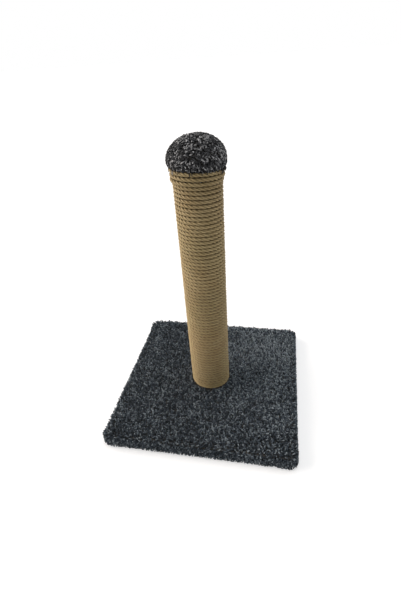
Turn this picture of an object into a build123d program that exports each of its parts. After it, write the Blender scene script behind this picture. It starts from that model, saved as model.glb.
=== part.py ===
from build123d import *
import math
import os

# A cat scratching post: a carpeted square base, a rope-wound post and a padded carpet cap.
# All sizes are in mm. The origin is the middle of the underside, with +Z up.

# Base
base_side = 400.0
base_corner_radius = 17.0
board_thickness = 16.0
margin_width = 42.0
margin_thickness = 5.0
mitre_gap = 1.0
top_edge_bevel = 5.0
bottom_edge_bevel = 3.0

# Carpet
backing_thickness = 2.0
pile_height = 7.0
crushed_pile = 2.0
glue_gap = 0.2

# Core of the post
post_height = 501.0
tube_diameter = 70.0
tube_wall = 5.0
plug_gap = 0.15
foot_plug_thickness = 36.0
top_plug_thickness = 18.0
top_plug_recess = 14.0

# Rope, wound down from the cap with its top end in a hole at the back of the tube
rope_thickness = 6.8
rope_sides = 4
rope_pitch = 7.3
rope_gap = 0.3
wound_turns = 24
lapped_turns = 3.0
step_down_turns = 0.5
rope_end_bend = 7.6
rope_hole_gap = 0.35
rope_end_below_rim = 9.4
BACK = 90.0

# Cap
skirt_thickness = 4.5
skirt_gap = 0.2
dome_radius = 51.3
dome_rise = 40.0
shoulder_radius = 30.0
brim_radius = 12.0
brim_height = 11.0
brim_gap = 0.5
pad_gap = 0.3
cap_facets = 36
outside_steps = 3
inside_steps = 2

# Fasteners are plain eight-sided prisms
fastener_sides = 8

# Foot screws, up through the board and the carpet into the foot plug
screw_count = 3
screw_circle_radius = 17.0
screw_diameter = 5.0
screw_head_diameter = 9.6
screw_head_edge = 0.5
screw_head_depth = 2.6
screw_length = 46.0
screw_point_length = 5.0
screw_point_diameter = 1.2
screw_gap = 0.15

# Nails that hold the plugs, and tacks that hold the skirt
nail_count = 3
nail_diameter = 2.2
nail_head_diameter = 5.0
nail_head_thickness = 1.0
nail_length = 20.0
tack_count = 4
tack_start = 15.0
tack_diameter = 1.8
tack_head_diameter = 6.5
tack_head_thickness = 0.8
tack_length = 15.0
nail_gap = 0.1

# Staples that hold the folded margin
staples_per_side = 4
staple_spacing = 84.0
staple_crown = 10.0
staple_leg = 9.0
staple_wire = 1.2
staple_sink = 0.8
staple_inset = 24.0
staple_gap = 0.1

# Levels and radii of the base and the core
carpet_thickness = backing_thickness + pile_height
board_side = base_side - 2 * carpet_thickness
board_corner_radius = base_corner_radius - carpet_thickness
board_bottom = margin_thickness
board_top = board_bottom + board_thickness
pile_top = board_top + carpet_thickness
window_side = board_side - 2 * margin_width
post_seat = board_top + backing_thickness + crushed_pile
tube_top = post_seat + post_height
tube_radius = tube_diameter / 2
plug_radius = tube_radius - tube_wall - plug_gap
foot_plug_middle = post_seat + foot_plug_thickness / 2
top_plug_middle = tube_top - top_plug_recess - top_plug_thickness / 2

# Levels and radii of the rope and the cap
rope_radius = rope_thickness / 2
wound_radius = tube_radius + rope_gap + rope_radius
skirt_radius = tube_radius + skirt_thickness
skirt_inside = tube_radius + skirt_gap
lapped_radius = skirt_radius + rope_gap + rope_radius
rope_start = tube_top - rope_end_below_rim
brim_bottom = rope_start + rope_radius + brim_gap
skirt_bottom = rope_start - rope_pitch * lapped_turns + rope_radius + rope_gap
dome_base = brim_bottom + brim_height
shoulder_centre = dome_radius - shoulder_radius
crown_lift = dome_rise - shoulder_radius
crown_drop = (shoulder_centre**2 - crown_lift**2) / (2 * crown_lift)
crown_radius = dome_rise + crown_drop


def rounded_slab(side, corner_radius, bottom, top):
    """A square slab between two levels, with rounded corners."""
    outline = RectangleRounded(side, side, corner_radius)
    return extrude(Pos(0, 0, bottom) * outline, top - bottom)


def disc(radius, bottom, top):
    """A round disc between two levels."""
    return extrude(Pos(0, 0, bottom) * Circle(radius), top - bottom)


def turned(outline):
    """A solid turned about the Z axis in flat facets. Its outline is points, each a radius and a level,
    of which the first and the last lie on the axis."""
    angles = [2 * math.pi * i / cap_facets for i in range(cap_facets)]
    rings = []
    for radius, level in outline:
        ring = [Vector(radius * math.cos(angle), radius * math.sin(angle), level) for angle in angles]
        rings.append(ring if radius else [ring[0]] * cap_facets)
    faces = []
    for here, there in zip(rings, rings[1:]):
        for i in range(cap_facets):
            corners = [here[i - 1], here[i], there[i], there[i - 1]]
            distinct = [corner for n, corner in enumerate(corners) if corner != corners[n - 1]]
            faces.append(make_face(Polyline(*distinct, close=True)))
    return Solid(Shell(faces))


def around(count, start=0.0):
    """Turns that space copies evenly round the post."""
    return [Rot(0, 0, start + 360 / count * i) for i in range(count)]


def less(solid, cutters):
    """The solid with each of the cutters taken out."""
    for cutter in cutters:
        solid -= cutter
    return solid


def prism(diameter, bottom, top):
    """A fastener's shank or head on the Z axis."""
    outline = RegularPolygon(diameter / 2, fastener_sides)
    return extrude(Pos(0, 0, bottom) * outline, top - bottom)


def foot_screw(gap=0.0):
    """A countersunk wood screw with its head's face at z = 0; a gap makes its hole."""
    neck = screw_head_edge + screw_head_depth
    point_start = screw_length - screw_point_length
    head_slope = math.degrees(math.atan2((screw_head_diameter - screw_diameter) / 2, screw_head_depth))
    point_slope = math.degrees(math.atan2((screw_diameter - screw_point_diameter) / 2, screw_point_length))
    head_outline = RegularPolygon(screw_head_diameter / 2 + gap, fastener_sides)
    shank_outline = RegularPolygon(screw_diameter / 2 + gap, fastener_sides)
    edge = extrude(head_outline, screw_head_edge)
    head = extrude(Pos(0, 0, screw_head_edge) * head_outline, screw_head_depth, taper=head_slope)
    shank = extrude(Pos(0, 0, neck) * shank_outline, point_start - neck)
    point = extrude(Pos(0, 0, point_start) * shank_outline, screw_point_length, taper=point_slope)
    return edge + head + shank + point


def foot_screws(gap=0.0):
    """The foot screws, or their holes, with heads flush with the board's underside."""
    turns = around(screw_count, BACK)
    return [turn * Pos(screw_circle_radius, 0, board_bottom) * foot_screw(gap) for turn in turns]


def pin(diameter, head_diameter, head_thickness, length, gap):
    """A nail along -X with its head's face at x = 0; a gap makes its hole."""
    shank = prism(diameter + 2 * gap, -length - gap, 0)
    head = prism(head_diameter + 2 * gap, -head_thickness - gap, 0)
    return Rot(0, 90, 0) * (shank + head)


def plug_nails(level, gap=0.0):
    """The nails of one plug, or their holes, with heads flush with the tube."""
    nail = pin(nail_diameter, nail_head_diameter, nail_head_thickness, nail_length, gap)
    turns = around(nail_count, BACK + 180 / screw_count)
    return [turn * Pos(tube_radius, 0, level) * nail for turn in turns]


def cap_tacks(gap=0.0):
    """The tacks of the skirt, or their holes, with heads flush with it."""
    tack = pin(tack_diameter, tack_head_diameter, tack_head_thickness, tack_length, gap)
    turns = around(tack_count, tack_start)
    return [turn * Pos(skirt_radius, 0, top_plug_middle) * tack for turn in turns]


def staple(gap):
    """A wire staple with its crown along X at z = 0 and its legs upward; a gap makes its slot."""
    upward = (Align.CENTER, Align.CENTER, Align.MIN)
    width = staple_wire + 2 * gap
    crown = Box(staple_crown + 2 * gap, width, width, align=upward)
    leg = Box(width, width, staple_leg + 2 * gap, align=upward)
    reach = (staple_crown - staple_wire) / 2
    return crown + Pos(reach, 0, 0) * leg + Pos(-reach, 0, 0) * leg


def margin_staples(gap=0.0):
    """The staples, or their slots, in rows along the four folded margins."""
    row = board_side / 2 - staple_inset
    first = -staple_spacing * (staples_per_side - 1) / 2
    places = [Pos(first + staple_spacing * i, -row, staple_sink - gap) for i in range(staples_per_side)]
    return [turn * place * staple(gap) for turn in around(4) for place in places]


def baseboard():
    """The chipboard square, countersunk for the foot screws."""
    board = rounded_slab(board_side, board_corner_radius, board_bottom, board_top)
    return less(board, foot_screws(screw_gap) + margin_staples(staple_gap))


def mitre_cuts():
    """The cuts between neighbouring margins, from the window to the base's corners."""
    inner = window_side / 2 - mitre_gap
    outer = board_side / 2 - board_corner_radius
    length = (outer - inner) * math.sqrt(2)
    cut = Box(length, mitre_gap, 2 * board_bottom, align=(Align.MIN, Align.CENTER, Align.CENTER))
    return [turn * Pos(inner, inner, 0) * Rot(0, 0, 45) * cut for turn in around(4)]


def base_carpet():
    """Carpet over the board's top and edges, with its margin folded under."""
    carpet = rounded_slab(base_side, base_corner_radius, 0, pile_top)
    carpet = chamfer(carpet.faces().sort_by(Axis.Z)[-1].edges(), top_edge_bevel)
    carpet = chamfer(carpet.faces().sort_by(Axis.Z)[0].edges(), bottom_edge_bevel)
    carpet -= rounded_slab(
        board_side + 2 * glue_gap,
        board_corner_radius + glue_gap,
        board_bottom - glue_gap,
        board_top + glue_gap,
    )
    carpet -= Box(window_side, window_side, 2 * board_bottom)
    carpet -= disc(wound_radius + rope_radius + rope_gap, post_seat, pile_top + pile_height)
    return less(carpet, mitre_cuts() + foot_screws(screw_gap) + margin_staples(staple_gap))


def core_tube():
    """The cardboard tube, with nail holes and the hole for the rope's top end."""
    tube = disc(tube_radius, post_seat, tube_top)
    tube -= disc(tube_radius - tube_wall, post_seat, tube_top)
    nails = plug_nails(foot_plug_middle, nail_gap) + plug_nails(top_plug_middle, nail_gap)
    return less(tube, nails + cap_tacks(nail_gap) + [rope_end_hole()])


def foot_plug():
    """The wooden disc in the tube's foot, which the foot screws bite into."""
    plug = disc(plug_radius, post_seat, post_seat + foot_plug_thickness)
    return less(plug, foot_screws(screw_gap) + plug_nails(foot_plug_middle, nail_gap))


def top_plug():
    """The wooden disc in the tube's head, which the skirt is tacked to."""
    half = top_plug_thickness / 2
    plug = disc(plug_radius, top_plug_middle - half, top_plug_middle + half)
    return less(plug, plug_nails(top_plug_middle, nail_gap) + cap_tacks(nail_gap))


def turn_point(turn):
    """The rope's middle line after so many turns from the back of the post."""
    angle = math.radians(BACK) + 2 * math.pi * turn
    step = min(max((turn - lapped_turns) / step_down_turns, 0.0), 1.0)
    inward = (lapped_radius - wound_radius) * step * step * (3 - 2 * step)
    radius = lapped_radius - inward
    return Vector(radius * math.cos(angle), radius * math.sin(angle), rope_start - rope_pitch * turn)


def turn_way(turn):
    """The way that the rope runs there."""
    reach = 0.01
    return (turn_point(turn + reach) - turn_point(turn - reach)).normalized()


def biarc(start, start_way, end, end_way):
    """Two arcs in a row that join two points and run the given way at each."""
    chord = end - start
    along = chord.dot(start_way + end_way)
    spread = 2 * (1 - start_way.dot(end_way))
    reach = (math.sqrt(along * along + spread * chord.dot(chord)) - along) / spread
    start_handle = start + start_way * reach
    end_handle = end - end_way * reach
    middle = (start_handle + end_handle) / 2
    first = TangentArc(start, middle, tangent=start_way)
    second = TangentArc(middle, end, tangent=end_handle - start_handle)
    return [first, second]


def rope_end_edges():
    """The rope's top end: out through the tube's wall, then bent to run round it."""
    outward = Vector(0, 1, 0)
    first = turn_point(0)
    bend_start = first + Vector(rope_end_bend, -rope_end_bend, 0)
    straight = Line(bend_start - outward * rope_thickness, bend_start)
    return [straight] + biarc(bend_start, outward, first, turn_way(0))


def wound_rope_edges():
    """The rope's whole middle line, with a short straight run at its last."""
    edges = rope_end_edges()
    for half in range(2 * wound_turns):
        here = half / 2
        there = (half + 1) / 2
        edges += biarc(turn_point(here), turn_way(here), turn_point(there), turn_way(there))
    last = turn_point(wound_turns)
    edges.append(Line(last, last + turn_way(wound_turns) * rope_thickness))
    return edges


def rope_section(gap=0.0):
    """The rope's section, with a corner outward; a gap makes its hole."""
    return RegularPolygon(rope_radius + gap * math.sqrt(2), rope_sides)


def along_path(edges, section):
    """A section swept along edges that join end to end, kept upright all the way."""
    path = Wire(edges)
    start = Plane(origin=path @ 0, x_dir=(1, 0, 0), z_dir=path % 0)
    return sweep(start * section, path=path, is_frenet=True)


def rope_end_hole():
    """The hole that the rope's top end goes through."""
    return along_path(rope_end_edges(), rope_section(rope_hole_gap))


def wound_rope():
    """The turns below the cap as one unbroken rope."""
    return along_path(wound_rope_edges(), rope_section())


def ramp_level(turn):
    """The level that the rope's underside has after so many turns."""
    return rope_start - rope_pitch * (turn + 0.5)


def ramp_cutter(first_turn):
    """The space above the ramp of the last wound turn, over half of it."""
    steps = 8
    height = 4 * rope_pitch
    sections = []
    for i in range(steps + 1):
        turn = first_turn + 0.5 * i / steps
        angle = math.radians(BACK) + 2 * math.pi * turn
        outward = Vector(math.cos(angle), math.sin(angle), 0)
        middle = outward * wound_radius + Vector(0, 0, ramp_level(turn) + height / 2)
        plane = Plane(origin=middle, x_dir=outward, z_dir=Vector(-outward.Y, outward.X, 0))
        sections.append(plane * Rectangle(2 * rope_thickness, height))
    return loft(sections, ruled=True)


def rope_sleeve():
    """The turns below the wound ones as a plain sleeve, with a ramp and a step for the last of them."""
    last = wound_turns - 1
    sleeve = disc(wound_radius + rope_radius, post_seat, ramp_level(last))
    sleeve -= disc(tube_radius + rope_gap, post_seat, ramp_level(last))
    sleeve = less(sleeve, [ramp_cutter(last), ramp_cutter(last + 0.5)])
    end_slot = Box(rope_thickness + rope_gap, 3 * rope_thickness, rope_pitch)
    end_place = Pos(-(rope_thickness + rope_gap) / 2, wound_radius, ramp_level(wound_turns) + rope_pitch / 2)
    return sleeve - end_place * end_slot


def least_rope_gap():
    """The least gap between one turn of the rope and the next, from points on its middle line."""
    per_turn = 72
    points = [turn_point(i / per_turn) for i in range(wound_turns * per_turn + 1)]
    near = [
        (a - b).length
        for i, a in enumerate(points)
        for b in points[i + per_turn * 3 // 4 : i + per_turn * 5 // 4]
    ]
    return min(near) - rope_thickness


def arc_points(centre, radius, first, last, steps):
    """Evenly spaced points on an arc, each as a radius and a level, and the angles in degrees."""
    angles = [math.radians(first + (last - first) * i / steps) for i in range(steps + 1)]
    return [(centre[0] + radius * math.cos(a), centre[1] + radius * math.sin(a)) for a in angles]


def dome_points(inset, steps):
    """The dome's outline from its widest level to the axis, moved inward by so much."""
    join = math.degrees(math.atan2(crown_drop, shoulder_centre))
    shoulder = arc_points((shoulder_centre, dome_base), shoulder_radius - inset, 0, join, steps)
    crown = arc_points((0, dome_base - crown_drop), crown_radius - inset, join, 90, steps)
    return shoulder + crown[1:-1] + [(0, dome_base + dome_rise - inset)]


def carpet_cap():
    """The carpet dome, with a brim over the rope and a skirt under its first turns."""
    brim_angle = math.degrees(math.asin(brim_height / brim_radius))
    brim_centre = (dome_radius - brim_radius, dome_base)
    brim = arc_points(brim_centre, brim_radius, -brim_angle, 0, outside_steps)
    inside = dome_points(carpet_thickness, inside_steps)
    widest, widest_level = inside[0]
    under = [
        (skirt_inside, widest_level - (widest - skirt_inside)),
        (skirt_inside, skirt_bottom),
        (skirt_radius, skirt_bottom),
        (skirt_radius, brim_bottom),
    ]
    outside = brim[:-1] + dome_points(0, outside_steps)
    cap = turned([*reversed(inside), *under, *outside])
    return less(cap, cap_tacks(nail_gap) + [rope_end_hole()])


def cap_pad():
    """The wadding that fills the dome above the tube."""
    outside = dome_points(carpet_thickness + pad_gap, inside_steps)
    bottom = tube_top + pad_gap
    widest, widest_level = outside[0]
    foot = (widest - (widest_level - bottom), bottom)
    return turned([(0, bottom), foot, *outside])


parts = {
    "baseboard": [baseboard()],
    "base_carpet": [base_carpet()],
    "margin_staples": margin_staples(),
    "core_tube": [core_tube()],
    "foot_plug": [foot_plug()],
    "foot_screws": foot_screws(),
    "foot_plug_nails": plug_nails(foot_plug_middle),
    "top_plug": [top_plug()],
    "top_plug_nails": plug_nails(top_plug_middle),
    "cap_pad": [cap_pad()],
    "carpet_cap": [carpet_cap()],
    "cap_tacks": cap_tacks(),
    "sisal_rope": [wound_rope(), rope_sleeve()],
}

os.makedirs("parts", exist_ok=True)
for name, solids in parts.items():
    shape = solids[0] if len(solids) == 1 else Compound(children=solids)
    export_step(shape, f"parts/{name}.step")

rope = parts["sisal_rope"][0]
rope_line = Wire(wound_rope_edges())
print("rope's middle line", round(rope_line.length, 1), "mm")
print("rope volume over section times length", round(rope.volume / (rope_section().area * rope_line.length), 5))
print("least gap between turns", round(least_rope_gap(), 3), "mm")
print("overall height", round(dome_base + dome_rise, 1), "mm")
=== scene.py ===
import math

import bmesh
import bpy
import numpy as np
from mathutils import Matrix, Vector


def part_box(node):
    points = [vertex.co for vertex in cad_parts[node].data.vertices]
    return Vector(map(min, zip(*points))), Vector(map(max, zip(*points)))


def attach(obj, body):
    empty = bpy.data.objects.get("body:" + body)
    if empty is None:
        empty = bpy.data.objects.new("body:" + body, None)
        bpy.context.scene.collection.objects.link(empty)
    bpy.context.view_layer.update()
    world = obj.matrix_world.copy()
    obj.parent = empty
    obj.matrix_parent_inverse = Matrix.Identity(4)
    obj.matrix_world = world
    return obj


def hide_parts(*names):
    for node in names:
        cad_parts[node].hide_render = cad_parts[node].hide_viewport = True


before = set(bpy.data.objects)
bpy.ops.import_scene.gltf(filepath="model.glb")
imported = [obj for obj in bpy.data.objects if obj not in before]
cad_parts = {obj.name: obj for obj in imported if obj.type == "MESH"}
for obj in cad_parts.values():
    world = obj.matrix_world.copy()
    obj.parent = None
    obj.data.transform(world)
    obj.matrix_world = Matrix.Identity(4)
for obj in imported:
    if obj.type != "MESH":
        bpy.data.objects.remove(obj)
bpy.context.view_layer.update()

# A cat scratching post: flecked carpet on a square base, a post wound with three-strand sisal rope and a
# carpet cap over wadding. Lengths are in millimetres until a piece is finished, which scales it to metres.
MM = 0.001
chance = np.random.default_rng(20)

# The photograph's frame, and the camera that was fitted to the outline of the base, the post and the cap
FRAME_LONG_SIDE_PX = 601
FOCAL_PX = 382.075
SENSOR_MM = 36.0
CAMERA_PLACE = Vector((139.409, -639.040, 691.953))
CAMERA_YAW = 0.232
CAMERA_PITCH = 0.596
CAMERA_ROLL = -0.078


def box_mm(node):
    """The lowest and highest corner of a CAD node in millimetres."""
    low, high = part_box(node)
    return low / MM, high / MM


board_low, board_high = box_mm("baseboard")

# A yarn is drawn with four sides. It narrows toward its tip, and its bend turns sideways by up to so much.
STRAND_TAPER = 0.25
STRAND_WANDER = 0.9
# How much of what stands out of the pile is pressed back to its surface
SHEARING = 0.95

# Carpet of the base: its backing, the margin that is folded under, and the spacing of its yarns
BACKING = 2.0
BOARD_CORNER = 8.0
MARGIN = 42.0
SPACING = 2.75
EDGE_SPACING = 2.15
MARGIN_SPACING = 3.3
MITRE_GAP = 3.2
# Yarns fan out within so far of an edge, and of the bare round where the post stands
FAN = 7.0
FOOT_CLEAR = 44.0
# The surface that the yarns' tips keep to, which is a little fuller on the left and at the back, higher at
# the back left and round the post's foot, and rounded at its corners and arrises
PILE_HALF_X = 199.0
PILE_HALF_Y = 199.5
PILE_TOP = 29.7
LEFT_FULLER = 1.0
BACK_FULLER = 1.2
BACK_LEFT_HIGHER = 2.6
FOOT_HIGHER = 2.5
PILE_ARRIS = 6.0
PILE_LOW_ARRIS = 5.0
PILE_CORNERS = {"front_left": 21.0, "front_right": 17.0, "back_left": 12.0, "back_right": 8.0}
# How much further the pile bursts open at the front corners and along the back, in bands so wide
CORNER_SWELLING = 1.5
BACK_SWELLING = 3.0
SWELLING_WIDTH = 35
# Painted light and shade on the pile, for its sheen where it was brushed and for shade to the left of the
# post:
# x, y and z of the middle, width and how much lighter
PILE_LIGHT_AND_SHADE = (
    (130, 115, 25, 85, 0.24), (55, 125, 25, 50, 0.12), (-75, 95, 25, 45, -0.08), (150, -10, 25, 95, 0.18),
)

# Rope: three strands that turn once round each other in every ROPE_LAY. ROPE_STEP is the way from one ring
# of a strand's corners to the next.
ROPE_THICKNESS = 7.5
ROPE_TURNS = 67.25
ROPE_LAY = 25.0
STRAND_THICKNESS = 3.7
STRAND_SIDES = 8
ROPE_STEP = 2.1
# Its fibres are drawn as noise on a cylinder of this radius, turned by one radian in so many millimetres
# and stretched so many times
FIBRE_RADIUS = 1.2
FIBRE_TWIST = 9
FIBRE_STRETCH = 14
# Its first turns lie over the cap's skirt, and the next half turn steps down to the tube
LAPPED_TURNS = 2.5
STEP_DOWN_TURNS = 0.5
WOUND_RADIUS = 39.6
LAPPED_RADIUS = 43.9
ROPE_START = 516.6
ROPE_END_BEND = 7.6
FOOT_LEVEL = 29.0
# The skirt's edge lifts the turns just below it, less and less over so many turns
LIFT = 1.0
LIFT_TURNS = 12.0
# The front of each turn was pushed up toward the cap, less and less over so many turns
PUSHED_UP = 4.6
PUSHED_TURNS = 6.0
# Each turn sits a little high or low, and a little in or out
LEVEL_STRAY = 0.16
RADIUS_STRAY = 0.10
# The last turn stands out a little, and its grooves are painted lighter than those above it, as a painted lit
# rim at the foot
LAST_TURN_OUT = 0.7
LAST_TURN_LIGHTER = 0.45
# The lay and the strands' thickness differ a little from one such length of rope to the next
SLACK_LENGTH = 40
FUZZ_COUNT = 900

# Cap: a crown, a shoulder and a brim, each an arc that runs into the next, over a skirt. The shoulder's and
# the brim's middles are on one level, and the crown's is below it.
DOME_BASE = 531.5
SHOULDER_RADIUS = 30.0
SHOULDER_CENTRE = 21.3
CROWN_DROP = 17.68
CROWN_RADIUS = 57.68
BRIM_RADIUS = 12.0
BRIM_CENTRE = SHOULDER_CENTRE + SHOULDER_RADIUS - BRIM_RADIUS
CROWN_END = math.atan2(CROWN_DROP, SHOULDER_CENTRE)
BRIM_END = -1.2
SKIRT_OUTSIDE = 37.4
SKIRT_BOTTOM = 499.0
CAP_PILE = 5.0
CAP_ROW = 2.5
CAP_SPACING = 2.6
WADDING_INSET = 9.5
# The right side of the cap is fuller at its shoulder and hangs lower at its brim
FULL_SHOULDER = 2.2
LOW_BRIM = 4.5
# Painted light and shade on the cap's pile: lighter patches for its sheen, darker ones for shade in and
# beside a crease and on its left side. Rows are x, y and z of the middle, width and how much lighter.
CAP_LIGHT_AND_SHADE = (
    (19, -16, 566, 10, 0.35), (29, -30, 552, 9, -0.2), (30, -12, 562, 3.5, -0.8),
    (-8, -22, 565, 12, 0.1), (-38, -12, 548, 16, -0.42), (40, -12, 540, 16, 0.25),
)
# Yarns pressed against the skirt, and stray yarns that hang over the first turn from these levels
PRESSED_COUNT = 420
STRAY_COUNTS = {"all round": 18, "right": 45}
STRAY_LEVELS = {"all round": 522.5, "right": 519.5}
STRAY_OUT = 3.7

# The room lights the object with this part of the light that the camera sees in it. Lamps look so many
# degrees wide.
ROOM_LIGHT = 0.34
LAMP_SPREAD = 60


# Materials

def linear(code):
    """The linear colour that a socket takes, from an sRGB hex value."""
    parts = [int(code[i:i + 2], 16) / 255 for i in (1, 3, 5)]
    return (*[c / 12.92 if c <= 0.04045 else ((c + 0.055) / 1.055) ** 2.4 for c in parts], 1.0)


def add(tree, kind, sockets=None, **settings):
    """Adds a node with its settings. Its sockets take a value, or a link from another node's socket."""
    made = tree.nodes.new("ShaderNode" + kind)
    for name, value in settings.items():
        setattr(made, name, value)
    for name, value in (sockets or {}).items():
        if isinstance(value, bpy.types.NodeSocket):
            tree.links.new(value, made.inputs[name])
        else:
            made.inputs[name].default_value = value
    return made


def blended(tree, share, first, second):
    """A colour between two, each given as an sRGB hex value or as a socket."""
    ends = [linear(end) if isinstance(end, str) else end for end in (first, second)]
    return add(tree, "Mix", {0: share, 6: ends[0], 7: ends[1]}, data_type="RGBA").outputs[2]


def ranged(tree, value, low, high, to_low=0.0, to_high=1.0):
    """A value that runs from to_low to to_high while the given socket's runs from low to high."""
    return add(tree, "MapRange", {"Value": value, "From Min": low, "From Max": high,
                                  "To Min": to_low, "To Max": to_high}).outputs["Result"]


def product(tree, first, second):
    """The product of two sockets, or of a socket and a number."""
    return add(tree, "Math", {0: first, 1: second}, operation="MULTIPLY").outputs[0]


def scaled(tree, colour, share):
    """A colour made darker by a socket's value."""
    return add(tree, "VectorMath", {0: colour, 3: share}, operation="SCALE").outputs[0]


def object_place(tree):
    """The place of a point of the surface in metres."""
    return add(tree, "TexCoord").outputs["Object"]


def noise(tree, place, scale, detail=2.0):
    """Smooth noise with so many waves in a metre."""
    return add(tree, "TexNoise", {"Vector": place, "Scale": scale, "Detail": detail}).outputs["Fac"]


def carried(tree, name):
    """A number that the mesh's corners carry."""
    return add(tree, "Attribute", attribute_name=name).outputs["Fac"]


def surface(name, values):
    """A new material with its tree and its Principled shader, whose sockets take the given values."""
    made = bpy.data.materials.new(name)
    made.use_nodes = True
    shader = made.node_tree.nodes["Principled BSDF"]
    for socket, value in values.items():
        shader.inputs[socket].default_value = value
    return made, made.node_tree, shader


def coloured(tree, shader, colour):
    """Gives the shader a colour from a socket."""
    tree.links.new(colour, shader.inputs["Base Color"])


def embossed(tree, shader, height, strength, depth):
    """Lets a value raise the surface, by up to so many metres."""
    bump = add(tree, "Bump", {"Height": height, "Strength": strength, "Distance": depth})
    tree.links.new(bump.outputs[0], shader.inputs["Normal"])


def twisted_pile_yarn(name, dark, middle, light, root):
    """Polypropylene carpet yarn, heat-set in a tight twist and cut. Its dyed-in blend of near-black,
    slate and light grey yarns gives the flecks, and its roots lie in the shade of their neighbours."""
    made, tree, shader = surface(name, {"Roughness": 0.8, "IOR": 1.49, "Specular IOR Level": 0.3,
                                        "Sheen Weight": 0.05})
    # Fibres of the blend show as streaks about 2 mm long
    heather = noise(tree, object_place(tree), 520.0, 1.0)
    speck = add(tree, "Math", {0: heather, 1: 0.5}, operation="SUBTRACT").outputs[0]
    mixed = add(tree, "Math", {0: speck, 1: 0.55, 2: carried(tree, "shade")},
                operation="MULTIPLY_ADD").outputs[0]
    lower = blended(tree, ranged(tree, mixed, 0.05, 0.55), dark, middle)
    full = blended(tree, ranged(tree, mixed, 0.5, 1.0), lower, light)
    # A yarn is in full light in the last quarter of its length
    lit = ranged(tree, carried(tree, "tip"), 0.0, 0.75, to_low=root)
    coloured(tree, shader, scaled(tree, full, lit))
    return made


def sisal_strand(name):
    """Sisal spun into yarns and laid in a hard strand: straw-coloured leaf fibre, a little glossy, with
    darker grooves between its yarns and tan or greyish lengths where the leaves differed."""
    made, tree, shader = surface(name, {"Roughness": 0.62, "IOR": 1.5, "Specular IOR Level": 0.3})
    place = object_place(tree)
    # Fibres 0.2 mm wide and many centimetres long, drawn 0.5 mm wide so that they show
    around = add(tree, "Attribute", attribute_name="around").outputs["Vector"]
    drawn = add(tree, "CombineXYZ", {"Z": carried(tree, "along")}).outputs[0]
    stretched = add(tree, "VectorMath", {0: around, 1: drawn}, operation="ADD").outputs[0]
    fibre = add(tree, "TexNoise", {"Vector": stretched, "Scale": 3.2, "Detail": 3.0,
                                   "Roughness": 0.6}).outputs["Fac"]
    straw = blended(tree, ranged(tree, fibre, 0.3, 0.7), "#927D57", "#E0C898")
    # Whole lengths of leaf differ every 20 to 40 mm
    leaf = ranged(tree, noise(tree, place, 38.0), 0.35, 0.7, to_high=0.5)
    browned = blended(tree, leaf, straw, "#AA8E61")
    # Sunned and browned stretches of some 100 mm
    age = ranged(tree, noise(tree, place, 9.0, 1.0), 0.35, 0.65, to_high=0.35)
    aged = blended(tree, age, browned, "#A2956A")
    # Dust and the painted shade of the next strand lie in the grooves. The rope is darker towards the cap and
    # towards its foot.
    groove = ranged(tree, carried(tree, "rise"), 0.2, 0.9, to_low=0.56)
    height = add(tree, "SeparateXYZ", {"Vector": place}).outputs["Z"]
    darker_towards_cap = ranged(tree, height, 0.42, 0.5, 0.97, 0.81)
    darker_towards_foot = ranged(tree, height, 0.08, 0.22, to_low=0.93)
    height_darkening = product(tree, darker_towards_cap, darker_towards_foot)
    coloured(tree, shader, scaled(tree, aged, product(tree, groove, height_darkening)))
    embossed(tree, shader, fibre, 0.5, 0.0004)
    return made


def woven_backing(name):
    """Woven polypropylene backing, glued: a tight grey-brown cloth with slit tapes every 1.6 mm."""
    made, tree, shader = surface(name, {"Roughness": 0.85})
    place = object_place(tree)
    warp, weft = (add(tree, "TexWave", {"Vector": place, "Scale": 98.0, "Distortion": 0.3},
                      bands_direction=direction).outputs["Fac"] for direction in "XY")
    cloth = product(tree, warp, weft)
    coloured(tree, shader, blended(tree, cloth, "#3A3733", "#6C675E"))
    embossed(tree, shader, cloth, 0.6, 0.0005)
    return made


def pressed_chipboard(name):
    """Raw chipboard: wood chips 2 to 6 mm long pressed with resin, matt, in mixed straw and brown."""
    made, tree, shader = surface(name, {"Roughness": 0.75})
    place = object_place(tree)
    bent = add(tree, "TexNoise", {"Vector": place, "Scale": 60.0}).outputs["Color"]
    pushed = add(tree, "VectorMath", {0: bent, 1: (0.012, 0.012, 0.012), 2: place},
                 operation="MULTIPLY_ADD").outputs[0]
    chip = add(tree, "TexVoronoi", {"Vector": pushed, "Scale": 260.0}, feature="F1").outputs["Color"]
    grey = add(tree, "SeparateColor", {"Color": chip}).outputs[0]
    coloured(tree, shader, blended(tree, grey, "#9C7B4F", "#D2B483"))
    embossed(tree, shader, grey, 0.3, 0.0002)
    return made


def wound_cardboard(name):
    """Spiral-wound cardboard tube: plain brown kraft paper with a seam every 90 mm and paper fibres."""
    made, tree, shader = surface(name, {"Roughness": 0.8})
    place = object_place(tree)
    turned = add(tree, "Mapping", {"Vector": place, "Rotation": (0.35, 0.0, 0.0)}).outputs[0]
    seam = add(tree, "TexWave", {"Vector": turned, "Scale": 3.5}, bands_direction="Z").outputs["Fac"]
    paper = blended(tree, noise(tree, place, 700.0), "#8E6E49", "#B69468")
    coloured(tree, shader, blended(tree, ranged(tree, seam, 0.97, 1.0, to_high=0.6), paper, "#6B5136"))
    return made


def sawn_pine(name):
    """Sawn pine disc: pale wood with darker growth rings 3 mm apart and a matt sawn face."""
    made, tree, shader = surface(name, {"Roughness": 0.7})
    moved = add(tree, "Mapping", {"Vector": object_place(tree), "Location": (0.03, 0.012, 0.0)}).outputs[0]
    ring = add(tree, "TexWave", {"Vector": moved, "Scale": 52.0, "Distortion": 1.2, "Detail": 1.0},
               wave_type="RINGS", rings_direction="Z").outputs["Fac"]
    coloured(tree, shader, blended(tree, ring, "#DDBE8B", "#B98C56"))
    return made


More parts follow.
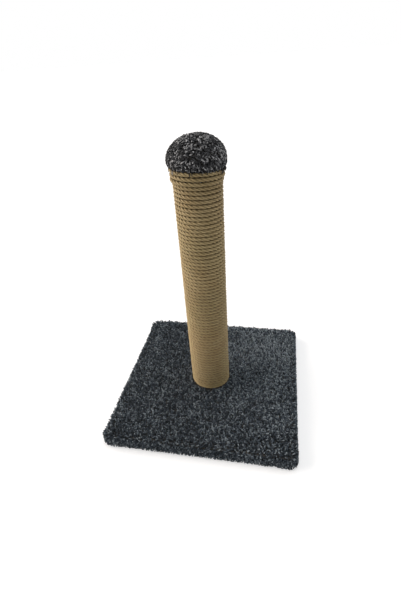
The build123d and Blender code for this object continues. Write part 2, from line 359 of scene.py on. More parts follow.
def zinc_plated_steel(name):
    """Bright zinc plate on drawn steel: cool grey metal whose thin plate is slightly clouded."""
    made, tree, shader = surface(name, {"Metallic": 1.0})
    cloud = noise(tree, object_place(tree), 400.0)
    coloured(tree, shader, blended(tree, cloud, "#B9BABB", "#D3D6D8"))
    tree.links.new(ranged(tree, cloud, 0.0, 1.0, 0.28, 0.45), shader.inputs["Roughness"])
    return made


def polyester_wadding(name):
    """Polyester wadding: white crimped fibre, very soft, with shallow clumps 8 mm apart."""
    made, tree, shader = surface(name, {"Roughness": 0.95, "Sheen Weight": 0.3})
    clump = noise(tree, object_place(tree), 120.0, 4.0)
    coloured(tree, shader, blended(tree, clump, "#D5D4CE", "#EFEEEA"))
    embossed(tree, shader, clump, 0.8, 0.002)
    return made


def studio_paper(name):
    """White background paper. It shows white to the camera and to glossy things, and keeps the shadow."""
    made, tree, shader = surface(name, {})
    tree.nodes.remove(shader)
    paper = add(tree, "BsdfDiffuse", {"Color": (0.72, 0.72, 0.72, 1.0)}).outputs[0]
    glow = add(tree, "Emission", {"Strength": product(tree, seen_directly(tree), 0.5)}).outputs[0]
    both = add(tree, "AddShader", {0: paper, 1: glow}).outputs[0]
    tree.links.new(both, tree.nodes["Material Output"].inputs["Surface"])
    return made


def seen_directly(tree):
    """One for camera, glossy and transmission rays, and zero for the light that reaches the object."""
    path = add(tree, "LightPath").outputs
    either = add(tree, "Math", {0: path["Is Camera Ray"], 1: path["Is Glossy Ray"]}, operation="MAXIMUM")
    seen = add(tree, "Math", {0: either.outputs[0], 1: path["Is Transmission Ray"]}, operation="MAXIMUM")
    return seen.outputs[0]


# Making pieces

def finished(mesh, name, material, node):
    """Turns a mesh in millimetres into a piece of the post, which stands for a CAD node."""
    mesh.transform(Matrix.Scale(MM, 4))
    mesh.name = name
    mesh.materials.clear()
    mesh.materials.append(material)
    mesh.polygons.foreach_set("use_smooth", [True] * len(mesh.polygons))
    piece = bpy.data.objects.new(name, mesh)
    bpy.context.scene.collection.objects.link(piece)
    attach(piece, "root")
    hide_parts(node)
    return piece


def as_mesh(bm, name):
    """Writes a bmesh, with its faces outward, to a new mesh."""
    bmesh.ops.recalc_face_normals(bm, faces=bm.faces)
    mesh = bpy.data.meshes.new(name)
    bm.to_mesh(mesh)
    bm.free()
    return mesh


def drawn_strand(length, thickness, steps, curl, wander):
    """A short closed strand that stands on the origin and bends over: its corners, faces and how far up
    each corner is. The strand has four sides, and its tip is cut."""
    bm = bmesh.new()
    height = bm.verts.layers.float.new("tip")
    bmesh.ops.create_circle(bm, cap_ends=True, segments=4, radius=thickness / 2)
    end = bm.faces[:]
    way = Vector((0.0, 0.0, 1.0))
    axis = Matrix.Rotation(wander, 3, "Z") @ Vector((1.0, 0.0, 0.0))
    for step in range(steps):
        moved = bmesh.ops.extrude_face_region(bm, geom=end)["geom"]
        corners = [part for part in moved if isinstance(part, bmesh.types.BMVert)]
        end = [part for part in moved if isinstance(part, bmesh.types.BMFace)]
        bmesh.ops.translate(bm, verts=corners, vec=way * length / steps)
        centre = sum((corner.co for corner in corners), Vector()) / len(corners)
        bend = Matrix.Rotation(curl / steps, 3, axis)
        bmesh.ops.rotate(bm, verts=corners, cent=centre, matrix=bend)
        narrow = 1 - STRAND_TAPER / steps
        bmesh.ops.scale(bm, verts=corners, vec=(narrow,) * 3, space=Matrix.Translation(-centre))
        way = bend @ way
        axis = Matrix.Rotation(wander / steps, 3, way) @ axis
        for corner in corners:
            corner[height] = (step + 1) / steps
    bmesh.ops.recalc_face_normals(bm, faces=bm.faces)
    bm.verts.index_update()
    corners = np.array([v.co for v in bm.verts])
    faces = np.array([[v.index for v in face.verts] for face in bm.faces])
    heights = np.array([v[height] for v in bm.verts])
    bm.free()
    return corners, faces, heights


def strand_kinds(count, length, thickness, steps, curl):
    """Several strands alike in size whose bends, of about so many degrees, differ."""
    return [
        drawn_strand(length * chance.uniform(0.85, 1.15), thickness * chance.uniform(0.85, 1.15), steps,
                     math.radians(curl) * chance.uniform(0.5, 1.4),
                     chance.uniform(-STRAND_WANDER, STRAND_WANDER))
        for _ in range(count)
    ]


def unit(rows):
    """Rows of vectors brought to length one."""
    return rows / np.linalg.norm(rows, axis=1, keepdims=True)


def stamped(name, kinds, roots, ways, shades, bends=None, sizes=None):
    """One mesh of many strands. Each stands on a root, runs off along a way, bends by chance or the way
    that it is told, and carries its own shade."""
    number = len(roots)
    ways = unit(ways)
    helper = np.where(np.abs(ways[:, 2:3]) < 0.8, [[0.0, 0.0, 1.0]], [[1.0, 0.0, 0.0]])
    side = unit(np.cross(helper, ways))
    other = np.cross(ways, side)
    spin = chance.uniform(0, 2 * math.pi, (number, 1))
    first = np.cos(spin) * side + np.sin(spin) * other
    if bends is not None:
        first = unit(np.cross(ways, bends))
    second = np.cross(ways, first)
    sizes = chance.uniform(0.85, 1.15, number) if sizes is None else sizes
    basis = np.stack([first, second, ways], axis=1) * sizes[:, None, None]
    picks = chance.integers(0, len(kinds), number)
    corners, faces, tips, values, start = [], [], [], [], 0
    for kind, (shape, quads, heights) in enumerate(kinds):
        chosen = np.flatnonzero(picks == kind)
        placed = np.einsum("ij,njk->nik", shape, basis[chosen]) + roots[chosen][:, None, :]
        offsets = start + np.arange(len(chosen)) * len(shape)
        corners.append(placed.reshape(-1, 3))
        faces.append((quads[None] + offsets[:, None, None]).reshape(-1, 4))
        tips.append(np.tile(heights, len(chosen)))
        values.append(np.repeat(shades[chosen], len(shape)))
        start += len(chosen) * len(shape)
    mesh = bpy.data.meshes.new(name)
    mesh.from_pydata(np.concatenate(corners), [], np.concatenate(faces))
    carry(mesh, "tip", np.concatenate(tips))
    carry(mesh, "shade", np.concatenate(values))
    return mesh


def carry(mesh, name, values):
    """Gives each corner of a mesh a number, or three, that a material reads."""
    values = np.asarray(values, dtype=np.float32)
    if values.ndim == 1:
        mesh.attributes.new(name, "FLOAT", "POINT").data.foreach_set("value", values)
    else:
        mesh.attributes.new(name, "FLOAT_VECTOR", "POINT").data.foreach_set("vector", values.ravel())


def read_corners(mesh):
    """The places of a mesh's corners."""
    corners = np.empty(len(mesh.vertices) * 3, np.float32)
    mesh.vertices.foreach_get("co", corners)
    return corners.reshape(-1, 3).astype(float)


def write_corners(mesh, corners):
    """Moves a mesh's corners."""
    mesh.vertices.foreach_set("co", corners.astype(np.float32).ravel())


def squashed_onto_floor(mesh, lowest):
    """Presses what would reach below the floor flat against it."""
    corners = read_corners(mesh)
    corners[:, 2] = np.maximum(corners[:, 2], lowest)
    write_corners(mesh, corners)


def shorn(mesh, kinds, beyond, uneven):
    """Presses what stands out of the pile back to its surface, each strand to a level of its own that
    differs by about so many millimetres. The given function tells how far points stand out, and the way."""
    corners = read_corners(mesh)
    strand = np.arange(len(corners)) // len(kinds[0][0])
    out, ways = beyond(corners)
    over = np.maximum(out - chance.normal(0, uneven, strand[-1] + 1)[strand], 0)
    write_corners(mesh, corners - SHEARING * over[:, None] * ways)


def cloudy(points, size, seed):
    """A smooth random value from about -1 to 1 at each point, whose clouds are so many millimetres wide."""
    dice = np.random.default_rng(seed)
    waves = dice.normal(0, 2 * math.pi / size, (24, 3))
    phases = dice.uniform(0, 2 * math.pi, 24)
    return np.cos(points @ waves.T + phases).sum(1) / math.sqrt(12)


# Base carpet

backing_half = board_high.x + BACKING
backing_corner = BOARD_CORNER + BACKING
backing_top = board_high.z + BACKING
backing_bottom = board_low.z - BACKING
window_half = board_high.x - MARGIN


def on_rounded_square(distance, half, corner):
    """Points and outward ways at so far along the outline of a rounded square, counterclockwise."""
    run = 2 * (half - corner)
    bend = corner * math.pi / 2
    side = np.floor(distance / (run + bend)).astype(int) % 4
    rest = distance % (run + bend)
    angle = np.clip((rest - run) / corner, 0, math.pi / 2)
    x = half - corner + corner * np.cos(angle)
    y = np.minimum(rest, run) - run / 2 + corner * np.sin(angle)
    out_x, out_y = np.cos(angle), np.sin(angle)
    turn = side * math.pi / 2
    cos, sin = np.cos(turn), np.sin(turn)
    places = np.stack([x * cos - y * sin, x * sin + y * cos], 1)
    ways = np.stack([out_x * cos - out_y * sin, out_x * sin + out_y * cos], 1)
    return places, ways


def inside_rounded_square(x, y, half, corner):
    """How far each point lies inside a rounded square, negative outside it."""
    dx = np.abs(x) - (half - corner)
    dy = np.abs(y) - (half - corner)
    outside = np.hypot(np.maximum(dx, 0), np.maximum(dy, 0)) + np.minimum(np.maximum(dx, dy), 0)
    return corner - outside


def jittered_grid(half, spacing):
    """Points in rows and columns so far apart, each moved a little by chance."""
    steps = np.arange(-half + spacing / 2, half, spacing)
    x, y = (grid.ravel() for grid in np.meshgrid(steps, steps))
    jitter = chance.uniform(-0.42, 0.42, (2, len(x))) * spacing
    return x + jitter[0], y + jitter[1]


def pile_shades(roots):
    """Each yarn's place between near-black and light grey: a blend by chance, in faint clouds, and
    lighter or darker by painted light and shade, for the sheen of brushed pile and for shade."""
    shades = chance.beta(1.1, 1.5, len(roots)) + 0.04 * cloudy(roots, 55, 3) + 0.04 * cloudy(roots, 14, 4)
    return np.clip(shades + painted_light_and_shade(roots, PILE_LIGHT_AND_SHADE), 0, 1)


def painted_light_and_shade(roots, places):
    """How much lighter the pile is painted at each root: painted light and shade, for its sheen where it was
    brushed and for shade.
    """
    change = np.zeros(len(roots))
    for x, y, z, width, lighter in places:
        change += lighter * np.exp(-((roots - (x, y, z)) ** 2).sum(1) / width ** 2)
    return change


def beyond_base(points):
    """How far points stand out of the base's pile, whose arrises are rounded, and the way out of it. The
    lower arris is a little sharper, so a point near the floor counts as lying above its middle."""
    x, y, z = points.T
    full = 1.0 + swelling(points)
    half_x = PILE_HALF_X + LEFT_FULLER * (x < 0) + full
    half_y = PILE_HALF_Y + full + BACK_FULLER * (y > 0)
    # Grows from the middle to the back and from the right to the left
    back_left = np.clip((y + 20) / 200, 0, 1) * np.clip((160 - x) / 320, 0, 1)
    top = PILE_TOP + full * 0.5 + BACK_LEFT_HIGHER * back_left
    top += FOOT_HIGHER * np.exp(-((np.hypot(x, y) - FOOT_CLEAR) / 4) ** 2)
    front = np.where(x > 0, PILE_CORNERS["front_right"], PILE_CORNERS["front_left"])
    back = np.where(x > 0, PILE_CORNERS["back_right"], PILE_CORNERS["back_left"])
    corner = np.where(y > 0, back, front)
    side_x = np.maximum(np.abs(x) - half_x + corner, 0)
    side_y = np.maximum(np.abs(y) - half_y + corner, 0)
    plan = np.hypot(side_x, side_y)
    aside = np.maximum(plan - corner + PILE_ARRIS, 0)
    above = np.maximum(z - top + PILE_ARRIS, 0) - np.maximum(PILE_LOW_ARRIS - z, 0)
    reach = np.hypot(aside, above) + 1e-9
    share = aside / reach / np.maximum(plan, 1e-9)
    ways = np.stack([np.sign(x) * side_x * share, np.sign(y) * side_y * share, above / reach], 1)
    return reach - PILE_ARRIS, ways


def swelling(points):
    """How much further the pile stands out, in mm, at the front corners and along the back."""
    x, y = points[:, 0], points[:, 1]
    further = np.zeros(len(points))
    for corner in (-200, 200):
        further += CORNER_SWELLING * np.exp(-((x - corner) ** 2 + (y + 200) ** 2) / SWELLING_WIDTH ** 2)
    back = np.clip((y - 150) / SWELLING_WIDTH, 0, 1)
    return further + BACK_SWELLING * back * np.clip((230 - x) / 400, 0.2, 1)


def arching(normals, stray):
    """Ways that strands bend: over and back to what they stand on, each a little to one side."""
    return -normals + stray * chance.normal(0, 1, normals.shape)


def leaning(normals, lean, toward=None, vary=0.3):
    """Ways that lean from their normals by about so many degrees, by chance or toward given ways."""
    number = len(normals)
    stray = unit(chance.normal(0, 1, (number, 3)))
    flat = unit(stray - (stray * normals).sum(1, keepdims=True) * normals)
    if toward is not None:
        flat = unit(flat + toward)
    angle = np.radians(np.abs(chance.normal(lean, lean * vary, number)))[:, None]
    return np.cos(angle) * normals + np.sin(angle) * flat


def top_pile():
    """The yarns on the board's top, in four quarters, spread at the edges and round the post."""
    kinds = strand_kinds(14, length=8.4, thickness=2.6, steps=3, curl=65)
    x, y = jittered_grid(backing_half, SPACING)
    depth = inside_rounded_square(x, y, backing_half - 1.0, backing_corner)
    reach = np.hypot(x, y)
    keep = (depth > 0) & (reach > FOOT_CLEAR)
    x, y, depth, reach = x[keep], y[keep], depth[keep], reach[keep]
    roots = np.stack([x, y, np.full(len(x), backing_top - 0.3)], 1)
    spread = np.clip(1 - depth / FAN, 0, 1)[:, None]
    straight = backing_half - backing_corner
    outward = unit(np.stack([np.where(np.abs(x) > straight, np.sign(x), 0) + 1e-6,
                             np.where(np.abs(y) > straight, np.sign(y), 0), np.zeros(len(x))], 1))
    normals = unit([[0.0, 0.0, 1.0]] + 0.9 * spread * outward)
    round_post = np.clip(1 - (reach - FOOT_CLEAR) / FAN, 0, 1)[:, None]
    from_post = np.stack([x / reach, y / reach, np.zeros(len(x))], 1)
    # Round the post the yarns stand up straighter and bend away from it
    ways = unit(leaning(normals, lean=30) * (1 - 0.5 * round_post) + [[0.0, 0.0, 0.6]] * round_post)
    bends = arching(normals, stray=0.7) + 2.5 * round_post * from_post
    sizes = chance.uniform(0.9, 1.1, len(x)) + 0.2 * swelling(roots) + 0.25 * round_post[:, 0]
    shades = pile_shades(roots)
    made = []
    for label, chosen in (
        ("front_left", (x < 0) & (y < 0)), ("front_right", (x >= 0) & (y < 0)),
        ("back_left", (x < 0) & (y >= 0)), ("back_right", (x >= 0) & (y >= 0)),
    ):
        name = "base_pile_" + label
        mesh = stamped(name, kinds, roots[chosen], ways[chosen], shades[chosen], bends[chosen], sizes[chosen])
        shorn(mesh, kinds, beyond_base, uneven=0.3)
        made.append(finished(mesh, name, pile_yarn, "base_carpet"))
    return made


def side_pile():
    """The yarns on the board's edges, a piece for each, which fan out over its upper and lower arris."""
    kinds = strand_kinds(10, length=8.2, thickness=2.7, steps=2, curl=60)
    around = 8 * (backing_half - backing_corner) + 2 * math.pi * backing_corner
    roots, normals = [], []
    for level in np.arange(backing_bottom + 1.6, backing_top, EDGE_SPACING):
        distance = np.arange(0, around, EDGE_SPACING)
        distance = distance + chance.uniform(-0.9, 0.9, len(distance))
        places, outward = on_rounded_square(distance % around, backing_half - 0.3, backing_corner)
        height = level + chance.uniform(-0.8, 0.8, len(distance))
        roots.append(np.column_stack([places, height]))
        upward = np.clip((height - backing_top + FAN) / FAN, 0, 1)
        upward -= np.clip((backing_bottom + FAN - height) / FAN, 0, 1)
        normals.append(np.column_stack([outward, 0.55 * upward]))
    roots, normals = np.concatenate(roots), unit(np.concatenate(normals))
    ways = leaning(normals, lean=28)
    # No yarn runs down so steeply that it would reach the floor
    ways[:, 2] = np.maximum(ways[:, 2], -(roots[:, 2] - 1.2) / 8)
    bends = arching(normals, stray=0.7)
    shades = pile_shades(roots)
    sizes = chance.uniform(0.9, 1.1, len(roots)) + 0.1 * swelling(roots)
    turned = np.arctan2(roots[:, 1], roots[:, 0]) / (math.pi / 2)
    edge = np.round(turned).astype(int) % 4
    made = []
    for number, label in enumerate(("right", "back", "left", "front")):
        name = "base_pile_edge_" + label
        one = edge == number
        mesh = stamped(name, kinds, roots[one], ways[one], shades[one], bends[one], sizes[one])
        shorn(mesh, kinds, beyond_base, uneven=0.4)
        squashed_onto_floor(mesh, lowest=0.1)
        made.append(finished(mesh, name, pile_yarn, "base_carpet"))
    return made


def margin_pile():
    """The crushed yarns of the margin that is folded under the board."""
    kinds = strand_kinds(8, length=7.0, thickness=1.7, steps=3, curl=25)
    x, y = jittered_grid(backing_half - 2, MARGIN_SPACING)
    on_margin = np.maximum(np.abs(x), np.abs(y)) > window_half + 2
    on_mitre = np.abs(np.abs(x) - np.abs(y)) < MITRE_GAP / 2
    keep = (inside_rounded_square(x, y, backing_half - 1, backing_corner) > 0) & on_margin & ~on_mitre
    x, y = x[keep], y[keep]
    roots = np.column_stack([x, y, np.full(len(x), backing_bottom + 0.2)])
    flat = chance.uniform(0, 2 * math.pi, len(x))
    ways = np.column_stack([np.cos(flat), np.sin(flat), np.full(len(x), -0.22)])
    mesh = stamped("base_pile_margin", kinds, roots, ways, pile_shades(roots) * 0.9)
    shorn(mesh, kinds, beyond_base, uneven=0.3)
    squashed_onto_floor(mesh, lowest=0.15)
    return finished(mesh, "base_pile_margin", pile_yarn, "base_carpet")


def base_backing():
    """The carpet's backing: over the board's top, down its edges, and under it in four mitred margins."""
    bm = bmesh.new()
    bmesh.ops.create_grid(bm, x_segments=1, y_segments=1, size=backing_half,
                          matrix=Matrix.Translation((0, 0, backing_top)))
    bmesh.ops.bevel(bm, geom=bm.verts[:], offset=backing_corner, segments=4, profile=0.5,
                    affect="VERTICES", material=-1)
    for drop, folded_under in ((backing_top - backing_bottom, False), (0.0, True)):
        rim = [edge for edge in bm.edges if edge.is_boundary]
        moved = bmesh.ops.extrude_edge_only(bm, edges=rim)["geom"]
        corners = [part for part in moved if isinstance(part, bmesh.types.BMVert)]
        for corner in corners:
            corner.co.z -= drop
            if folded_under:
                corner.co.x = math.copysign(min(abs(corner.co.x), window_half), corner.co.x)
                corner.co.y = math.copysign(min(abs(corner.co.y), window_half), corner.co.y)
    bmesh.ops.remove_doubles(bm, verts=bm.verts[:], dist=0.05)
    bmesh.ops.dissolve_degenerate(bm, edges=bm.edges[:], dist=0.05)
    bmesh.ops.recalc_face_normals(bm, faces=bm.faces)
    arrises = [edge for edge in bm.edges if len(edge.link_faces) == 2 and edge.calc_face_angle(0) > 1.2]
    bmesh.ops.bevel(bm, geom=arrises, offset=1.4, segments=2, profile=0.5, affect="EDGES", material=-1)
    bmesh.ops.solidify(bm, geom=bm.faces[:], thickness=BACKING - 0.1)
    mesh = as_mesh(bm, "base_backing")
    return finished(mesh, "base_backing", backing_cloth, "base_carpet")


# Rope

def rope_line():
    """Points down the middle of the whole rope, from inside the tube to its last turn at the foot."""
    pitch = (ROPE_START - FOOT_LEVEL) / ROPE_TURNS
    per_turn = round(2 * math.pi * WOUND_RADIUS / ROPE_STEP)
    turn = np.linspace(0, ROPE_TURNS, round(ROPE_TURNS * per_turn))
    step = np.clip((turn - LAPPED_TURNS) / STEP_DOWN_TURNS, 0, 1)
    radius = LAPPED_RADIUS - (LAPPED_RADIUS - WOUND_RADIUS) * step * step * (3 - 2 * step)
    angle = math.pi / 2 + 2 * math.pi * turn
    pushed = PUSHED_UP * np.sin(math.pi * turn) ** 2 * np.exp(-turn / PUSHED_TURNS)
    level = ROPE_START - pitch * turn + pushed
    # No two turns were pulled alike
    knots = np.arange(0, ROPE_TURNS + 1, 0.21)
    level += np.interp(turn, knots, chance.normal(0, LEVEL_STRAY, len(knots))) * np.clip(turn, 0, 1)
    radius += np.interp(turn, knots, chance.normal(0, RADIUS_STRAY, len(knots)))
    radius += step * LIFT * np.exp(-turn / LIFT_TURNS)
    radius += LAST_TURN_OUT * np.clip(turn - ROPE_TURNS + 1.0, 0, 1)
    wound = np.column_stack([radius * np.cos(angle), radius * np.sin(angle), level])
    bend = np.radians(np.arange(0, 90, 15))
    out = LAPPED_RADIUS - ROPE_END_BEND
    bent = np.column_stack([ROPE_END_BEND * np.cos(bend), out + ROPE_END_BEND * np.sin(bend),
                            np.full(len(bend), ROPE_START)])
    inside = np.array([[ROPE_END_BEND, y, ROPE_START] for y in np.arange(out - 7, out - 1, ROPE_STEP)])
    return np.concatenate([inside, bent, wound])


def rope_strands(material):
    """The rope's three strands, right-laid, each a piece that runs the whole way down the post."""
    line = rope_line()
    way = unit(np.gradient(line, axis=0))
    across = unit(np.cross(way, [[0.0, 0.0, 1.0]]))
    upward = np.cross(across, way)
    run = np.concatenate([[0], np.cumsum(np.linalg.norm(np.diff(line, axis=0), axis=1))])
    lengths = np.arange(0, run[-1] + SLACK_LENGTH, SLACK_LENGTH)
    slack = np.cumsum(chance.normal(0, 0.3, len(lengths)))
    lay_angle = -2 * math.pi * run / ROPE_LAY + np.interp(run, lengths, slack)
    # The last turn gets less of the painted groove shade: a painted lit rim
    lighter_last_turn = LAST_TURN_LIGHTER * np.clip((run - run[-1] + 2 * math.pi * WOUND_RADIUS + 20) / 20, 0, 1)
    offset = (ROPE_THICKNESS - STRAND_THICKNESS) / 2
    for strand in range(3):
        name = f"rope_strand_{strand + 1}"
        angle = (lay_angle + 2 * math.pi * strand / 3)[:, None]
        centre = line + offset * (np.cos(angle) * across + np.sin(angle) * upward)
        full = 1 + 0.06 * np.interp(run, lengths, chance.normal(0, 1, len(lengths)))
        curve = bpy.data.curves.new(name, "CURVE")
        curve.dimensions = "3D"
        curve.bevel_depth = STRAND_THICKNESS / 2
        curve.bevel_resolution = (STRAND_SIDES - 4) // 2
        curve.use_fill_caps = True
        spline = curve.splines.new("POLY")
        spline.points.add(len(centre) - 1)
        spline.points.foreach_set("co", np.column_stack([centre, np.ones(len(centre))]).ravel())
        spline.points.foreach_set("radius", full)
        source = bpy.data.objects.new(name + "_line", curve)
        bpy.context.scene.collection.objects.link(source)
        bpy.context.view_layer.update()
        evaluated = source.evaluated_get(bpy.context.evaluated_depsgraph_get())
        mesh = bpy.data.meshes.new_from_object(evaluated)
        bpy.data.objects.remove(source)
        bpy.data.curves.remove(curve)
        # What the material reads: where a corner is round the strand and along it, and how far out of
        # the rope's middle it stands
        count = np.arange(len(mesh.vertices))
        ring = np.minimum(count // STRAND_SIDES, len(run) - 1)
        turned = 2 * math.pi * (count % STRAND_SIDES) / STRAND_SIDES + run[ring] / FIBRE_TWIST
        around = np.column_stack([np.cos(turned), np.sin(turned), np.zeros(len(turned))])
        carry(mesh, "around", FIBRE_RADIUS * around)
        carry(mesh, "along", run[ring] / FIBRE_STRETCH + strand * 7)
        out = np.hypot(*read_corners(mesh)[:, :2].T) - np.hypot(*line[ring, :2].T)
        carry(mesh, "rise", out / (ROPE_THICKNESS / 2) + lighter_last_turn[ring])
        finished(mesh, name, material, "sisal_rope")
    return line, way


def rope_fuzz(line, way, material):
    """Fibre ends that stand off the rope."""
    kinds = strand_kinds(6, length=3.6, thickness=0.2, steps=3, curl=50)
    chosen = chance.integers(40, len(line) - 2, FUZZ_COUNT)
    out = unit(line[chosen] * (1, 1, 0)) + 0.45 * chance.normal(0, 1, (FUZZ_COUNT, 3)) * (0, 0, 1)
    roots = line[chosen] + unit(out) * (ROPE_THICKNESS / 2 - 0.35)
    ways = way[chosen] * chance.choice([-1, 1], (FUZZ_COUNT, 1))
    ways = ways + chance.uniform(0.2, 0.9, (FUZZ_COUNT, 1)) * out
    mesh = stamped("rope_fuzz", kinds, roots, ways, chance.uniform(0, 1, FUZZ_COUNT))
    carry(mesh, "rise", np.full(len(mesh.vertices), 1.0))
    carry(mesh, "along", 40 * np.repeat(np.linspace(0, 1, FUZZ_COUNT), len(kinds[0][0])))
    finished(mesh, "rope_fuzz", material, "sisal_rope")


# Cap

def cap_outline(inset, steps):
    """The cap's outline from its peak to the end of its brim, moved inward from the pile's tips, with the
    outward way at each point. Rows are radius, level, and the way's radius and level."""
    rows = []
    for centre, radius, first, last in (
        ((0.0, DOME_BASE - CROWN_DROP), CROWN_RADIUS - inset, math.pi / 2, CROWN_END),
        ((SHOULDER_CENTRE, DOME_BASE), SHOULDER_RADIUS - inset, CROWN_END, 0.0),
        ((BRIM_CENTRE, DOME_BASE), BRIM_RADIUS - inset, 0.0, BRIM_END),
    ):
        angles = np.linspace(first, last, steps + 1)[1 if rows else 0:]
        for angle in angles:
            rows.append((centre[0] + radius * math.cos(angle), centre[1] + radius * math.sin(angle),
                         math.cos(angle), math.sin(angle)))
    return np.array(rows)


def beyond_cap(points):
    """How far points stand out of the cap's pile, and the way out of it."""
    radius = np.hypot(points[:, 0], points[:, 1]) + 1e-9
    rise = points[:, 2] - DOME_BASE
    crown = np.arctan2(rise, radius - SHOULDER_CENTRE) > CROWN_END
    brim = rise < 0
    aside = radius - np.select([crown, brim], [0.0, BRIM_CENTRE], SHOULDER_CENTRE)
    above = rise + np.where(crown, CROWN_DROP, 0.0)
    full = np.select([crown, brim], [CROWN_RADIUS, BRIM_RADIUS], SHOULDER_RADIUS)
    reach = np.hypot(aside, above) + 1e-9
    out = np.where(brim & (aside < 0), -1.0, reach - full)
    flat = points[:, :2] / radius[:, None] * (aside / reach)[:, None]
    return out, np.column_stack([flat, above / reach])


def settled(points):
    """The cap's own shape: its right shoulder is fuller, and its brim hangs lower on that side."""
    right = np.clip(points[:, 0] / 40, 0, 1)
    shoulder = np.clip((points[:, 2] - DOME_BASE) / 25, 0, 1)
    brim = np.clip((DOME_BASE + 8 - points[:, 2]) / 16, 0, 1)
    moved = points.copy()
    moved[:, 2] += right * (FULL_SHOULDER * shoulder - LOW_BRIM * brim)
    return moved


def spun(profile, steps):
    """A bmesh of a profile of radii and levels turned round the post, in the cap's own shape."""
    bm = bmesh.new()
    corners = [bm.verts.new((radius, 0, level)) for radius, level in profile]
    corners[0].co.x = 0.0
    edges = [bm.edges.new(pair) for pair in zip(corners, corners[1:])]
    bmesh.ops.spin(bm, geom=corners + edges, cent=(0, 0, 0), axis=(0, 0, 1), angle=2 * math.pi,
                   steps=steps, use_merge=True)
    bmesh.ops.remove_doubles(bm, verts=bm.verts[:], dist=0.01)
    bmesh.ops.recalc_face_normals(bm, faces=bm.faces)
    for vert, place in zip(bm.verts, settled(np.array([v.co for v in bm.verts]))):
        vert.co = place
    return bm


def cap_skin():
    """The cap's carpet backing: a round drawn over the wadding, gathered under the brim, with its skirt."""
    dome = [(radius, level) for radius, level, _, _ in cap_outline(CAP_PILE, 7)]
    skirt = [(SKIRT_OUTSIDE, level) for level in (DOME_BASE - 9.5, DOME_BASE - 20, SKIRT_BOTTOM)]
    bm = spun(dome + skirt, 48)
    bmesh.ops.solidify(bm, geom=bm.faces[:], thickness=BACKING)
    return finished(as_mesh(bm, "cap_skin"), "cap_skin", backing_cloth, "carpet_cap")


def cap_pile():
    """The cap's longer yarns, which hang out and down from the peak."""
    kinds = strand_kinds(14, length=10.0, thickness=2.3, steps=4, curl=55)
    outline = cap_outline(CAP_PILE + 0.3, 60)
    run = np.concatenate([[0], np.cumsum(np.hypot(*np.diff(outline[:, :2], axis=0).T))])
    roots, normals, downhill = [], [], []
    for distance in np.arange(0.5, run[-1], CAP_ROW):
        radius, level, out, up = (np.interp(distance, run, column) for column in outline.T)
        number = max(3, round(2 * math.pi * radius / CAP_SPACING))
        places = np.arange(number) + chance.uniform(-0.4, 0.4, number)
        angle = places * 2 * math.pi / number + chance.uniform(0, 6)
        spread = distance + chance.uniform(-1.0, 1.0, number)
        radius, level, out, up = (np.interp(spread, run, column) for column in outline.T)
        cos, sin = np.cos(angle), np.sin(angle)
        roots.append(np.column_stack([radius * cos, radius * sin, level]))
        normals.append(np.column_stack([out * cos, out * sin, up]))
        downhill.append(np.column_stack([up * cos, up * sin, -out]))
    roots, normals, downhill = (np.concatenate(rows) for rows in (roots, normals, downhill))
    normals, downhill = unit(normals), unit(downhill)
    ways = leaning(normals, lean=35, toward=1.2 * downhill, vary=0.2)
    # The yarns' shades take the painted light and shade of the cap
    shades = np.clip(chance.beta(0.9, 1.15, len(roots)) + painted_light_and_shade(roots, CAP_LIGHT_AND_SHADE), 0, 1)
    mesh = stamped("cap_pile", kinds, roots, ways, shades, arching(normals, stray=0.45))
    shorn(mesh, kinds, beyond_cap, uneven=0.3)
    write_corners(mesh, settled(read_corners(mesh)))
    return finished(mesh, "cap_pile", cap_yarn, "carpet_cap")


def skirt_pile():
    """The yarns that the first turns press flat against the skirt, and stray ones over the first turn."""
    kinds = strand_kinds(6, length=7.0, thickness=1.5, steps=2, curl=15)
    angle = chance.uniform(0, 2 * math.pi, PRESSED_COUNT)
    level = chance.uniform(SKIRT_BOTTOM + 7, DOME_BASE - 14, PRESSED_COUNT)
    radius = SKIRT_OUTSIDE + 0.4
    roots = np.column_stack([radius * np.cos(angle), radius * np.sin(angle), level])
    side = chance.uniform(-0.7, 0.7, PRESSED_COUNT)
    ways = np.column_stack([-np.sin(angle) * side, np.cos(angle) * side, np.full(PRESSED_COUNT, -1.0)])
    ways += 0.08 * np.column_stack([np.cos(angle), np.sin(angle), np.zeros(PRESSED_COUNT)])
    # Most of the stray yarns are on the right, where the brim is low
    stray = np.concatenate([chance.uniform(0, 2 * math.pi, STRAY_COUNTS["all round"]),
                            chance.uniform(-0.35, 0.7, STRAY_COUNTS["right"])])
    level = np.repeat(list(STRAY_LEVELS.values()), list(STRAY_COUNTS.values()))
    level = level + chance.uniform(-1.5, 1.5, len(stray))
    over = LAPPED_RADIUS + STRAY_OUT
    hung = np.column_stack([over * np.cos(stray), over * np.sin(stray), level])
    drop = np.column_stack([0.05 * np.cos(stray), 0.05 * np.sin(stray), np.full(len(stray), -1.0)])
    roots = np.concatenate([roots, hung])
    ways = np.concatenate([ways, drop + chance.normal(0, 0.12, drop.shape)])
    mesh = stamped("cap_skirt_pile", kinds, roots, ways, chance.beta(0.9, 1.4, len(roots)))
    return finished(mesh, "cap_skirt_pile", cap_yarn, "carpet_cap")


def cap_wadding(material):
    """The wadding inside the dome, which rests on the tube's rim."""
    bottom = box_mm("cap_pad")[0].z
    profile = [(radius, level) for radius, level, _, _ in cap_outline(WADDING_INSET, 5) if level > bottom + 2]
    bm = spun([*profile, (profile[-1][0] - 4, bottom), (0, bottom)], 32)
    return finished(as_mesh(bm, "cap_wadding"), "cap_wadding", material, "cap_pad")


# The post

pile_yarn = twisted_pile_yarn("twisted_polypropylene_pile", "#151C21", "#454F59", "#9DA7AD", 0.44)
cap_yarn = twisted_pile_yarn("long_polypropylene_pile", "#090A0C", "#3E4044", "#B6B7B9", 0.08)
backing_cloth = woven_backing("woven_polypropylene_backing")

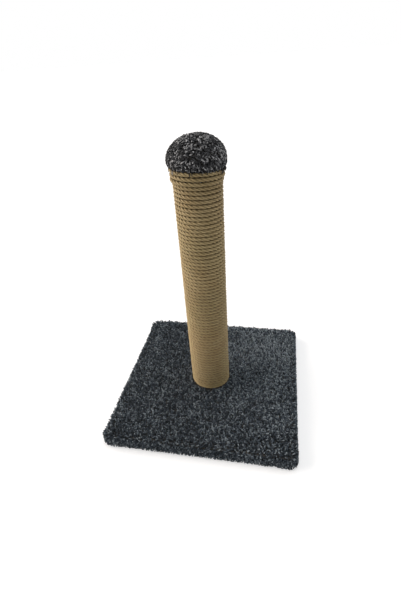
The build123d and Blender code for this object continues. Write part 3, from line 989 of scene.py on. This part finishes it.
quarters = top_pile()
edge_piles = side_pile()
under_pile = margin_pile()
backing = base_backing()

sisal = sisal_strand("laid_sisal")
rope_fuzz(*rope_strands(sisal), sisal)

skin = cap_skin()
hanging = cap_pile()
pressed = skirt_pile()
# Cut from a round 190 mm across, less the darts of its skirt
cap_wadding(polyester_wadding("polyester_wadding"))

steel = zinc_plated_steel("zinc_plated_steel")
pine = sawn_pine("sawn_pine")
for node, material in (
    ("baseboard", pressed_chipboard("raw_chipboard")),
    ("core_tube", wound_cardboard("spiral_wound_cardboard")),
    ("foot_plug", pine), ("top_plug", pine),
    ("margin_staples", steel), ("foot_screws", steel), ("foot_plug_nails", steel),
    ("top_plug_nails", steel), ("cap_tacks", steel),
):
    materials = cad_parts[node].data.materials
    materials.clear()
    materials.append(material)


# Studio

def studio_floor():
    """A wide sheet of white paper under the post."""
    bm = bmesh.new()
    bmesh.ops.create_grid(bm, x_segments=1, y_segments=1, size=20000.0)
    mesh = as_mesh(bm, "studio_floor")
    mesh.transform(Matrix.Scale(MM, 4))
    mesh.materials.append(studio_paper("white_paper"))
    floor = bpy.data.objects.new("studio_floor", mesh)
    bpy.context.scene.collection.objects.link(floor)


def studio_world():
    """Even light from all round, and plain white where the camera looks past the floor."""
    world = bpy.data.worlds.new("studio_room")
    world.use_nodes = True
    tree = world.node_tree
    seen = seen_directly(tree)
    strength = ranged(tree, seen, 0.0, 1.0, to_low=ROOM_LIGHT)
    room = tree.nodes["Background"]
    room.inputs["Color"].default_value = (1.0, 1.0, 1.0, 1.0)
    tree.links.new(strength, room.inputs["Strength"])
    bpy.context.scene.world = world


def sun(name, way, strength, colour):
    """A soft lamp whose light runs along a way."""
    lamp = bpy.data.lights.new(name, "SUN")
    lamp.energy = strength
    lamp.angle = math.radians(LAMP_SPREAD)
    lamp.color = linear(colour)[:3]
    made = bpy.data.objects.new(name, lamp)
    made.rotation_euler = Vector(way).to_track_quat("-Z", "Y").to_euler()
    bpy.context.scene.collection.objects.link(made)


def studio_camera():
    """The photograph's camera."""
    data = bpy.data.cameras.new("photo_camera")
    data.sensor_fit = "AUTO"
    data.sensor_width = SENSOR_MM
    data.lens = FOCAL_PX / FRAME_LONG_SIDE_PX * SENSOR_MM
    data.clip_start, data.clip_end = 0.05, 60.0
    camera = bpy.data.objects.new("photo_camera", data)
    forward = Vector((-math.sin(CAMERA_YAW) * math.cos(CAMERA_PITCH),
                      math.cos(CAMERA_YAW) * math.cos(CAMERA_PITCH), -math.sin(CAMERA_PITCH)))
    right = Vector((math.cos(CAMERA_YAW), math.sin(CAMERA_YAW), 0))
    up = right.cross(forward)
    tilted_right = math.cos(CAMERA_ROLL) * right + math.sin(CAMERA_ROLL) * up
    tilted_up = math.cos(CAMERA_ROLL) * up - math.sin(CAMERA_ROLL) * right
    turn = Matrix((tilted_right, tilted_up, -forward)).transposed()
    camera.matrix_world = Matrix.Translation(CAMERA_PLACE * MM) @ turn.to_4x4()
    bpy.context.scene.collection.objects.link(camera)
    bpy.context.scene.camera = camera


studio_floor()
studio_world()
sun("left_window", (1.0, -0.01, -0.32), 3.7, "#FFF4EB")
sun("ceiling_lamp", (-0.30, -0.42, -1.0), 0.95, "#FAFCFF")
studio_camera()
bpy.context.scene.view_settings.view_transform = "Standard"
